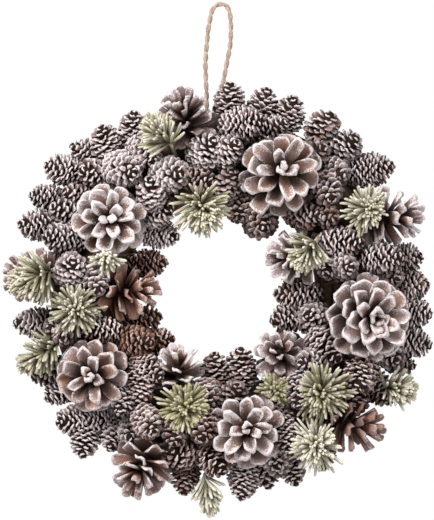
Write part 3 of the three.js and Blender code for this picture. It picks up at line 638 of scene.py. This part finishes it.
def big_cone(cone, rng, style):
    frost, warm, count = cone.look
    length, width, whorls = cone.length, cone.width, style["whorls"]
    tip_share = (np.arange(count) / (count - 1)) ** style["evenness"]
    stations = np.linspace(0, 1, len(whorls))
    height, radius, reach, rise = (np.interp(tip_share, stations, column) for column in whorls.T)
    out, side = golden_frames(count)
    base = ROOT_DEPTH * radius * width
    scale_length = (reach * width - base) * rng.uniform(*BIG_LENGTH, count)
    scale_width = style["breadth"] * width * (1 - 0.55 * tip_share**1.8)
    scale_width = scale_width * rng.uniform(*BIG_WIDTH, count)
    angle = np.radians(rise + rng.normal(0, BIG_RISE, count))
    along, normal = raised(out, angle)
    side, normal = twisted(side, normal, rng.normal(0, style["twist"], count))
    root_height = length * (height + ROOT_ABOVE - 0.5)
    room = (FORWARD_LIMIT * length - root_height) / np.maximum(np.sin(angle), 0.1)
    scale_length = np.minimum(scale_length, room)
    root = out * base[:, None] + UP * root_height[:, None]
    phase = rng.uniform(0, FULL_TURN, count)
    blades = scales(root, along, side, normal, scale_length, scale_width, style["blade"], phase)

    placed, u, size = cone.place(blades.points), blades.u, blades.size
    front = facing_front(placed, blades.faces)
    bright = np.repeat(rng.normal(0, BIG_VARIETY, count), size)
    warmer = np.repeat(rng.normal(0, SCALE_VARIETY, count), size)
    rim_frost = (1 - blades.rim / style["rim"]) * (0.55 + 0.5 * front) * (0.72 + 0.6 * frost)
    face_frost = frost * front * (0.3 * u + 0.65 * np.repeat(tip_share, size) ** 2)
    white = (rim_frost + face_frost + bright) * outer_part(u)
    brown = warm + 0.3 * (blades.face < 0) + 0.4 * (0.5 - u) + warmer
    # Painted shade: the scales darken towards their roots
    light = 0.05 + 0.95 * u ** style["hollow"] + bright
    blade = part_of(
        placed, blades.faces, np.clip(white, 0, 1), np.clip(brown, 0, 1), np.clip(light, 0.03, 1),
    )
    # The core is painted dark, as painted shade deep between the scales
    heights, radii = whorls[:, 0], whorls[:, 1]
    core_heights = np.array([heights[0] - 0.06, *(heights + 0.06), heights[-1] + 0.16])
    core_radii = width * np.array([0.5 * radii[0], *(0.8 * radii), 0.02])
    return [blade, core_of(cone, core_heights, core_radii, 14, 0.1 * frost, warm, 0.1)]


# The cones as eggs, which needles and crevices are measured against. Gives the way from each egg's
# middle to each point, and how much of it lies along and across the egg's axis.
def from_eggs(points, eggs):
    offset = points[:, None, :] - eggs["middle"][None]
    forward = np.einsum("ijk,jk->ij", offset, eggs["direction"])
    across = np.sqrt(np.clip((offset**2).sum(axis=2) - forward**2, 0, None))
    return offset, forward, across


# How far a point lies in the crevice between its own cone and those beside and before it, 0 to 1,
# which sets the painted shade there
CREVICE_REACH = 9
NEIGHBOUR_DISTANCE = 75
BEFORE_DEPTH = 40
BEHIND_SHARE = 0.15


def crevice(points, cone, eggs):
    gap = np.linalg.norm(eggs["middle"] - cone.middle, axis=1)
    others = (gap > 0) & (gap < NEIGHBOUR_DISTANCE)
    near = {key: values[others] for key, values in eggs.items()}
    offset, forward, across = from_eggs(points, near)
    share = np.hypot(forward / near["half_length"], across / near["half_width"])
    off = (share - 1) * near["half_width"]
    closeness = np.clip(1 - off / CREVICE_REACH, 0, 1)
    before = np.clip(0.5 + offset[..., 1] / BEFORE_DEPTH, BEHIND_SHARE, 1)
    return np.clip((closeness * before).sum(axis=1), 0, 1)


# Painted shade in crevices: there the frost is painted less white and the scales darker
def crevice_shaded(parts, cone, eggs, frost_shading, shade_loss):
    for part in parts:
        crevice_shade = crevice(part["points"], cone, eggs)
        part["frost"] = part["frost"] * (1 - frost_shading * crevice_shade)
        part["shade"] = part["shade"] * (1 - shade_loss * crevice_shade)
    return parts


# Needles. How their spread, length and radius vary, how far their directions scatter and how far
# they bend; one is blocked where a point along it lies in a cone or close to one, and is then
# turned to the front by steps.
NEEDLE_SPREAD = (0.86, 1.06)
NEEDLE_LENGTH = (0.78, 1.0)
NEEDLE_THICKNESS = (0.85, 1.15)
NEEDLE_SCATTER = 0.14
NEEDLE_BEND = 0.16
NEEDLE_RADIUS = 1.35
NEEDLE_SIDES = 5
NEEDLE_STATIONS = np.array([0, 0.3, 0.62, 0.88, 0.97])
NEEDLE_GIRTH = np.array([0.65, 0.95, 1.0, 0.95, 0.65])
NEEDLE_PROBES = (0.35, 0.6, 0.8, 1)
NEEDLE_GAP = 0.6
NEEDLE_TURNS = 9
TURN_STEP = (0, -0.2, 0)
SPRIG_SIDE = (0.31, 0.2, 0.93)
STEM_RADII = (1.9, 1.2)
Sprig = namedtuple("Sprig", "x z depth heading lean reach spread core needles root pale yellow")


def blocked(start, direction, reach, eggs):
    hits = np.zeros(len(start), bool)
    for share in NEEDLE_PROBES:
        _, forward, across = from_eggs(start + direction * (share * reach)[:, None], eggs)
        along = forward / (eggs["half_length"] + NEEDLE_GAP)
        outward = across / (eggs["half_width"] + NEEDLE_GAP)
        hits |= (np.hypot(along, outward) < 1).any(axis=1)
    return hits


def sprig(plan, rng, eggs):
    axis = lean_direction(plan.heading, plan.lean)
    base = np.array([plan.x, -plan.depth, plan.z], float)
    end = base + axis * plan.core * plan.reach
    across = unit(np.cross(SPRIG_SIDE, axis))
    other = np.cross(axis, across)

    # Needles start along the core and spread less towards its end. Those that are still blocked
    # after their turns are left out.
    count = plan.needles
    share = (np.arange(count) + 0.5) / count
    start = base + (end - base) * (share * 0.95)[:, None]
    turn = np.arange(count) * GOLDEN_ANGLE
    out = across * np.cos(turn)[:, None] + other * np.sin(turn)[:, None]
    spread = plan.spread * (1 - 0.85 * share**1.4)
    angle = np.radians(spread * rng.uniform(*NEEDLE_SPREAD, count))
    direction = axis * np.cos(angle)[:, None] + out * np.sin(angle)[:, None]
    direction = unit(direction + rng.normal(0, NEEDLE_SCATTER, (count, 3)))
    length = plan.reach * (1 - 0.38 * share) * rng.uniform(*NEEDLE_LENGTH, count)
    for _ in range(NEEDLE_TURNS):
        direction[blocked(start, direction, length, eggs)] += TURN_STEP
        direction = unit(direction)
    keep = ~blocked(start, direction, length, eggs)
    start, direction, length = start[keep], direction[keep], length[keep]
    count = len(start)

    # Each needle bends a little inwards and to one side
    inward = axis - direction * direction.dot(axis)[:, None]
    bend = 0.1 * inward + rng.normal(0, NEEDLE_BEND, (count, 3))
    side = unit(np.cross(direction, rng.normal(0, 1, (count, 3))))
    up = np.cross(direction, side)
    turns = np.arange(NEEDLE_SIDES) * FULL_TURN / NEEDLE_SIDES
    ring = side[:, None] * np.cos(turns)[:, None] + up[:, None] * np.sin(turns)[:, None]
    steps = len(NEEDLE_STATIONS)
    radii = NEEDLE_RADIUS * rng.uniform(*NEEDLE_THICKNESS, (count, steps, 1, 1))
    stations, lengths = NEEDLE_STATIONS[:, None], length[:, None, None]
    middle = start[:, None] + direction[:, None] * stations * lengths
    middle = middle + bend[:, None] * (stations * (1 - stations) + 0.25 * stations**2) * lengths
    rings = middle[:, :, None] + ring[:, None] * NEEDLE_GIRTH[:, None, None] * radii
    tip = start + (direction + 0.25 * bend) * length[:, None]
    points = np.concatenate([rings.reshape(count, -1, 3), tip[:, None]], axis=1)
    size = points.shape[1]
    triangles = np.concatenate([
        ring_triangles(steps, NEEDLE_SIDES),
        fan_triangles((steps - 1) * NEEDLE_SIDES, NEEDLE_SIDES, size - 1),
    ])
    points, faces = points.reshape(-1, 3), repeated(triangles, count, size)

    tone = np.repeat(rng.normal(0, 0.12, count), size)
    tint = np.repeat(rng.normal(0, 0.15, count), size)
    along = np.tile(np.append(np.repeat(NEEDLE_STATIONS, NEEDLE_SIDES), 1), count)
    front = facing_front(points, faces)
    white = plan.pale * (0.35 + 0.8 * along**2) + 0.25 * (front - 0.5) + tone
    # Painted shade: the needles are darker towards their roots inside the sprig
    light = 0.15 + 0.85 * along + 0.3 * tone
    needles = part_of(
        points, faces, np.clip(white, 0, 1), np.clip(plan.yellow + tint, 0, 1),
        np.clip(light, 0.08, 1),
    )
    root_x, root_z, root_depth = plan.root
    root = np.array([root_x, -root_depth, root_z], float)
    stem_path = np.concatenate([np.linspace(root, base, 6), np.linspace(base, end, 5)[1:]])
    stem = tube(stem_path, np.linspace(*STEM_RADII, len(stem_path)), 8)
    return [needles, part_of(*stem, 0.5 * plan.pale + 0.2, plan.yellow, 0.7)]


# Vine canes that follow the ring, packed to its flat back and rounded front: the radius at which
# each runs, the depth of its middle and its own radius. Those of the back layer lie on the wall.
CANE_PLACES = [
    (88, 6.2, 6.0), (99, 6.2, 6.0), (110.5, 6.2, 6.0), (122, 6.2, 6.0), (133, 6.2, 6.0),
    (142, 6.4, 5.8), (92, 16, 5.8), (103, 17.5, 6.4), (115, 18, 6.2), (127, 17.5, 6.4),
    (138, 15.5, 5.6), (101, 26, 5.2), (112, 28, 5.4), (122, 27.5, 5.2), (131, 24, 4.8),
]
CANE_STEPS = 132
CANE_SIDES = 9
CANE_FULLNESS = 0.97
BACK_LAYER = 7
WANDER = 1.6
FINE_WANDER = 0.7
WAVE = 0.9

# A thin vine binds the canes in laps, rounded over the front and flatter along the wall
LAPS = 9
LAP_STEPS = 40
LAP_RADIUS = 1.3
LAP_SIDES = 6
LAP_REACH = 31.2
LAP_MIDDLE = 12
LAP_FRONT = 20.6
LAP_BACK = 13
LAP_FROM_WALL = 1.4
LAP_SLANT = 0.1


def round_the_ring(radius, depth, turn):
    return np.stack([radius * np.cos(turn), -depth, radius * np.sin(turn)], axis=1)


def vine_ring(rng):
    parts = []
    theta = np.arange(CANE_STEPS + 1) * FULL_TURN / CANE_STEPS
    for radius, depth, girth in CANE_PLACES:
        phases = rng.uniform(0, FULL_TURN, 6)
        around = radius + WANDER * np.sin(3 * theta + phases[1])
        around = around + FINE_WANDER * np.sin(7 * theta + phases[2])
        wave = WAVE * np.sin(4 * theta + phases[3])
        knots = 1 + 0.1 * np.maximum(0, np.sin(9 * theta + phases[4])) ** 8
        thick = girth * CANE_FULLNESS * (1 + 0.05 * np.sin(5 * theta + phases[5])) * knots
        if depth < BACK_LAYER:
            out = np.maximum(depth + np.abs(wave), thick)
        else:
            out = depth + wave
        thick[-1], around[-1], out[-1] = thick[0], around[0], out[0]
        cane = tube(round_the_ring(around, out, theta + phases[0]), thick, CANE_SIDES)
        tone = rng.normal(0, 0.12)
        parts.append(part_of(*cane, 0.08, 0.5 + tone, 0.65 + tone))

    phi = np.linspace(0, FULL_TURN, LAP_STEPS + 1)
    run, rise = np.cos(phi), np.sin(phi)
    flatter = np.sign(run) * np.sqrt(np.abs(run))
    around = RING_MIDDLE + LAP_REACH * np.where(rise < 0, flatter, run)
    out = np.maximum(LAP_MIDDLE + np.where(rise < 0, LAP_BACK, LAP_FRONT) * rise, LAP_FROM_WALL)
    for lap in range(LAPS):
        at = (lap + rng.uniform(-0.2, 0.2)) * FULL_TURN / LAPS
        vine = tube(round_the_ring(around, out, at + LAP_SLANT * rise), LAP_RADIUS, LAP_SIDES)
        parts.append(part_of(*vine, 0.15, 0.6, 0.75))
    return parts


# A smooth line through a route's points (Catmull-Rom), in steps of about the same length
def smooth_route(route, step):
    knots = np.array([(x, 0, z) for x, z in route], float) - FRAME_SHIFT
    ends = np.concatenate([[2 * knots[0] - knots[1]], knots, [2 * knots[-1] - knots[-2]]])
    stretches = []
    for p0, p1, p2, p3 in zip(ends, ends[1:], ends[2:], ends[3:]):
        count = max(2, int(round(np.linalg.norm(p2 - p1) / step)))
        t = (np.arange(count) / count)[:, None]
        square, cube = 2 * p0 - 5 * p1 + 4 * p2 - p3, 3 * p1 - p0 - 3 * p2 + p3
        stretches.append(0.5 * (2 * p1 + (p2 - p0) * t + square * t**2 + cube * t**3))
    return np.concatenate([*stretches, knots[-1:]])


def steps_along(path):
    return np.linalg.norm(np.diff(path, axis=0), axis=1)


# Jute rope: strands wound round its middle line and loose hairs
ROPE_STEP = 1.1
STRANDS = 2
STRAND_LAY = 16.5
STRAND_OFFSET = 0.85
STRAND_RADIUS = 1.22
STRAND_SIDES = 10
HAIRS = 110
HAIR_START = 1.7
HAIR_RADII = (0.09, 0.08, 0.04)
HAIR_SIDES = 3


def jute_rope(path, rng):
    along = unit(np.gradient(path, axis=0))
    across = np.array([0, 1.0, 0])
    other = np.cross(along, across)
    run = np.append(0, np.cumsum(steps_along(path)))
    parts = []
    for strand in range(STRANDS):
        angle = FULL_TURN * (strand / STRANDS - run / STRAND_LAY)
        offset = across * np.cos(angle)[:, None] + other * np.sin(angle)[:, None]
        radius = STRAND_RADIUS + 0.06 * np.sin(run * 1.7 + strand)
        yarn = tube(path + STRAND_OFFSET * offset, radius, STRAND_SIDES)
        parts.append(part_of(*yarn, 0.3, 0.4 + 0.25 * strand, 0.85))
    for _ in range(HAIRS):
        at = rng.integers(4, len(path) - 4)
        turn = rng.uniform(0, FULL_TURN)
        outward = across * math.cos(turn) + other[at] * math.sin(turn)
        lift = along[at] * rng.choice([-1, 1]) * 0.8 + outward * rng.uniform(0.25, 0.7)
        lift = lift * rng.uniform(1, 2.6)
        start = path[at] + outward * HAIR_START
        line = [start, start + 0.5 * lift, start + lift + 0.1 * outward]
        parts.append(part_of(*tube(line, HAIR_RADII, HAIR_SIDES), 0.6, 0.4, 1))
    return parts


# Materials. They read the three values of each point, varied by noise in the object's own space.
SPECULAR = 0.12


class Shader:
    def __init__(self, name):
        self.material = bpy.data.materials.new(name)
        self.material.use_nodes = True
        self.nodes = self.material.node_tree.nodes
        self.links = self.material.node_tree.links
        self.surface = self.nodes["Principled BSDF"]
        self.coords = self.nodes.new("ShaderNodeTexCoord").outputs["Object"]

    def link(self, value, socket):
        if isinstance(value, (int, float, tuple)):
            socket.default_value = value
        else:
            self.links.new(value, socket)

    def noise(self, scale, detail):
        node = self.nodes.new("ShaderNodeTexNoise")
        node.inputs["Scale"].default_value = scale
        node.inputs["Detail"].default_value = detail
        self.links.new(self.coords, node.inputs["Vector"])
        return node.outputs["Fac"]

    def calculate(self, operation, a, b):
        node = self.nodes.new("ShaderNodeMath")
        node.operation = operation
        self.link(a, node.inputs[0])
        self.link(b, node.inputs[1])
        return node.outputs[0]

    # A value of the points, moved up and down by noises, each given with its amount
    def varied(self, name, *noises):
        node = self.nodes.new("ShaderNodeAttribute")
        node.attribute_name = name
        value = node.outputs["Fac"]
        for noise, amount in noises:
            offset = self.calculate("SUBTRACT", noise, 0.5)
            value = self.calculate("ADD", value, self.calculate("MULTIPLY", offset, amount))
        return value

    def smooth(self, value, low, high, out_low=0.0, out_high=1.0):
        node = self.nodes.new("ShaderNodeMapRange")
        node.interpolation_type = "SMOOTHSTEP"
        self.link(value, node.inputs["Value"])
        node.inputs["From Min"].default_value = low
        node.inputs["From Max"].default_value = high
        node.inputs["To Min"].default_value = out_low
        node.inputs["To Max"].default_value = out_high
        return node.outputs["Result"]

    def mix(self, factor, a, b, blend="MIX"):
        node = self.nodes.new("ShaderNodeMix")
        node.data_type = "RGBA"
        node.blend_type = blend
        self.link(factor, node.inputs["Factor"])
        self.link(a, node.inputs["A"])
        self.link(b, node.inputs["B"])
        return node.outputs["Result"]

    # Painted light and shade: the colour multiplied by the shade value in each channel
    def darkened(self, colour, shade):
        grey = self.nodes.new("ShaderNodeCombineColor")
        for channel in ("Red", "Green", "Blue"):
            self.links.new(shade, grey.inputs[channel])
        return self.mix(1.0, colour, grey.outputs["Color"], "MULTIPLY")

    def finish(self, colour, roughness, height, distance, strength):
        self.link(colour, self.surface.inputs["Base Color"])
        self.link(roughness, self.surface.inputs["Roughness"])
        self.surface.inputs["Specular IOR Level"].default_value = SPECULAR
        bump = self.nodes.new("ShaderNodeBump")
        bump.inputs["Distance"].default_value = distance
        bump.inputs["Strength"].default_value = strength
        self.link(height, bump.inputs["Height"])
        self.links.new(bump.outputs["Normal"], self.surface.inputs["Normal"])
        return self.material


FROST_WHITE = (0.80, 0.735, 0.735, 1)
FLOCK_WHITE = (0.82, 0.77, 0.65, 1)
BARK_HIGHLIGHT = (0.2, 0.165, 0.14, 1)
JUTE_HIGHLIGHT = (0.6, 0.49, 0.42, 1)


# Wood from cool to warm, under frost that comes in between two values and covers it so far
def cone_material(name, cool, warm, bare_below, white_above, speckles, cover):
    shader = Shader(name)
    grain, patch = shader.noise(1000, 4), shader.noise(260, 3)
    broad, speckle = shader.noise(60, 2), shader.noise(680, 2)
    wood = shader.mix(shader.smooth(shader.varied("warm", (patch, 0.5)), 0.1, 0.9), cool, warm)
    # Painted light and shade: the wood is multiplied by the shade value, mapped from 0.06 to 1.3
    shade = shader.varied("shade", (grain, 0.5), (broad, 0.3))
    wood = shader.darkened(wood, shader.smooth(shade, 0.0, 1.0, 0.06, 1.3))
    frost = shader.varied("frost", (grain, 0.7), (patch, 0.35), (speckle, speckles))
    frost = shader.smooth(frost, bare_below, white_above)
    colour = shader.mix(shader.calculate("MULTIPLY", frost, cover), wood, FROST_WHITE)
    height = shader.calculate("ADD", grain, shader.calculate("MULTIPLY", frost, 0.6))
    return shader.finish(colour, 0.85, height, 0.0005, 0.6)


def sprig_material(name, grey_green, yellow_green):
    shader = Shader(name)
    grain, patch = shader.noise(1500, 4), shader.noise(300, 2)
    tint = shader.smooth(shader.varied("warm", (patch, 0.6)), 0.1, 0.9)
    # Painted light and shade: the green is multiplied by the shade value, mapped from 0.25 to 1.15
    shade = shader.smooth(shader.varied("shade", (grain, 0.3)), 0, 1, 0.25, 1.15)
    green = shader.darkened(shader.mix(tint, grey_green, yellow_green), shade)
    flock = shader.smooth(shader.varied("frost", (grain, 0.7), (patch, 0.3)), 0.15, 0.95)
    return shader.finish(shader.mix(flock, green, FLOCK_WHITE), 0.9, grain, 0.0006, 0.7)


def vine_material(name, dark, brown):
    shader = Shader(name)
    grain, patch = shader.noise(500, 5), shader.noise(70, 3)
    wood = shader.mix(shader.smooth(shader.varied("warm", (grain, 1.0)), 0.1, 0.9), dark, brown)
    colour = shader.mix(shader.smooth(patch, 0.5, 0.8), wood, BARK_HIGHLIGHT)
    return shader.finish(colour, 0.85, grain, 0.0012, 0.8)


def rope_material(name, dark, pale):
    shader = Shader(name)
    grain, patch = shader.noise(900, 5), shader.noise(200, 2)
    jute = shader.mix(shader.smooth(shader.varied("warm", (grain, 1.1)), 0.15, 0.85), dark, pale)
    colour = shader.mix(shader.smooth(patch, 0.5, 0.8), jute, JUTE_HIGHLIGHT)
    return shader.finish(colour, 0.95, grain, 0.0005, 0.8)


large_material = cone_material(
    "frosted_cone", (0.26, 0.185, 0.165, 1), (0.36, 0.17, 0.10, 1), 0.28, 0.9, 1.3, 0.93,
)
open_material = cone_material(
    "brown_cone", (0.20, 0.14, 0.13, 1), (0.27, 0.13, 0.085, 1), 0.38, 1.0, 0.9, 0.93,
)
small_material = cone_material(
    "small_cone", (0.25, 0.19, 0.188, 1), (0.275, 0.145, 0.105, 1), 0.24, 0.94, 0.7, 0.86,
)
needle_material = sprig_material(
    "flocked_needles", (0.235, 0.22, 0.14, 1), (0.34, 0.305, 0.16, 1),
)
bark_material = vine_material("vine_bark", (0.06, 0.04, 0.03, 1), (0.19, 0.115, 0.075, 1))
jute_material = rope_material("twisted_jute", (0.31, 0.205, 0.15, 1), (0.51, 0.385, 0.31, 1))

# The seeds of the pieces; in a table each row has the next one
ROPE_SEED = 3
VINE_SEED = 4
LARGE_SEED = 20
OPEN_SEED = 40
BUNCH_SEED = 60
SPRIG_SEED = 120

# Painted crevice shade: how much frost and light a cone's scales lose deep in a crevice
OPEN_CREVICE_SHADE = (0.5, 0.5)
BUNCH_CREVICE_SHADE = (0.75, 0.7)

# The rope comes first, as the loop that the wreath hangs by
rope_path = smooth_route(ROPE_ROUTE, ROPE_STEP)
rope_parts = jute_rope(rope_path, np.random.default_rng(ROPE_SEED))
rope = add_piece("jute_rope", rope_parts, jute_material, "hanging_rope")

vine_parts = vine_ring(np.random.default_rng(VINE_SEED))
add_piece("vine_canes", vine_parts, bark_material, "vine_ring")

large_cones = {node: Cone(*row) for node, row in LARGE_CONES.items()}
open_cones = {node: Cone(*row) for node, row in OPEN_CONES.items()}
bunches = {node: [Cone(*row) for row in rows] for node, rows in CONE_BUNCHES.items()}
every_cone = [*large_cones.values(), *open_cones.values(), *itertools.chain(*bunches.values())]
eggs = {
    "middle": np.array([cone.middle for cone in every_cone]),
    "direction": np.array([cone.direction for cone in every_cone]),
    "half_length": np.array([cone.length / 2 for cone in every_cone]),
    "half_width": np.array([cone.width / 2 for cone in every_cone]),
}
for index, (node, cone) in enumerate(large_cones.items()):
    parts = big_cone(cone, np.random.default_rng(LARGE_SEED + index), LARGE_STYLE)
    add_piece(node + "_scales", parts, large_material, node)

for index, (node, cone) in enumerate(open_cones.items()):
    parts = big_cone(cone, np.random.default_rng(OPEN_SEED + index), OPEN_STYLE)
    parts = crevice_shaded(parts, cone, eggs, *OPEN_CREVICE_SHADE)
    add_piece(node + "_scales", parts, open_material, node)

for index, (node, bunch) in enumerate(bunches.items()):
    frost, warm = BUNCH_LOOKS.get(node, USUAL_LOOK)
    rng = np.random.default_rng(BUNCH_SEED + index)
    parts = []
    for cone in bunch:
        own_frost = frost + rng.normal(0, 0.05)
        parts += crevice_shaded(small_cone(cone, rng, own_frost, warm), cone, eggs, *BUNCH_CREVICE_SHADE)
    add_piece(node + "_scales", parts, small_material, node)

for index, (node, row) in enumerate(SPRIGS.items()):
    parts = sprig(Sprig(*row), np.random.default_rng(SPRIG_SEED + index), eggs)
    add_piece(node + "_needles", parts, needle_material, node)

# Floor, light and background, in metres of the frame
FLOOR_REACH = 3
FLOOR_LEVEL = -1.6
LIGHT_AIM = (0, 0, -0.24)
WORLD_LIGHT = 0.36
WORLD_SEEN = 1.0

floor_mesh = bpy.data.meshes.new("floor")
floor_corners = [
    (FLOOR_REACH * x, FLOOR_REACH * y, FLOOR_LEVEL) for x, y in ((-1, -1), (1, -1), (1, 1), (-1, 1))
]
floor_mesh.from_pydata(floor_corners, [], [(0, 1, 2, 3)])
floor = bpy.data.objects.new("floor", floor_mesh)
bpy.context.scene.collection.objects.link(floor)
pale = bpy.data.materials.new("pale_floor")
pale.use_nodes = True
pale_surface = pale.node_tree.nodes["Principled BSDF"]
pale_surface.inputs["Base Color"].default_value = (0.9, 0.9, 0.9, 1)
pale_surface.inputs["Roughness"].default_value = 0.9
floor_mesh.materials.append(pale)


def add_light(name, place, size, energy):
    data = bpy.data.lights.new(name, "AREA")
    data.shape = "DISK"
    data.size = size
    data.energy = energy
    light = bpy.data.objects.new(name, data)
    light.location = place
    aim = Vector(LIGHT_AIM) - Vector(place)
    light.rotation_mode = "QUATERNION"
    light.rotation_quaternion = aim.to_track_quat("-Z", "Y")
    bpy.context.scene.collection.objects.link(light)


add_light("key", (-0.9, -1.5, 0.9), 0.8, 50)
add_light("fill", (1.3, -1.6, 0.2), 1.4, 16)
add_light("back", (0.2, 1.2, 0.6), 1.0, 10)

# The background is white to the camera and gives less light than that
world = bpy.data.worlds.new("white_studio")
bpy.context.scene.world = world
world.use_nodes = True
nodes, links = world.node_tree.nodes, world.node_tree.links
background = nodes["Background"]
background.inputs["Color"].default_value = (1, 1, 1, 1)
seen = nodes.new("ShaderNodeLightPath")
strength = nodes.new("ShaderNodeMapRange")
strength.inputs["To Min"].default_value = WORLD_LIGHT
strength.inputs["To Max"].default_value = WORLD_SEEN
links.new(seen.outputs["Is Camera Ray"], strength.inputs["Value"])
links.new(strength.outputs["Result"], background.inputs["Strength"])
bpy.context.scene.view_settings.view_transform = "Standard"
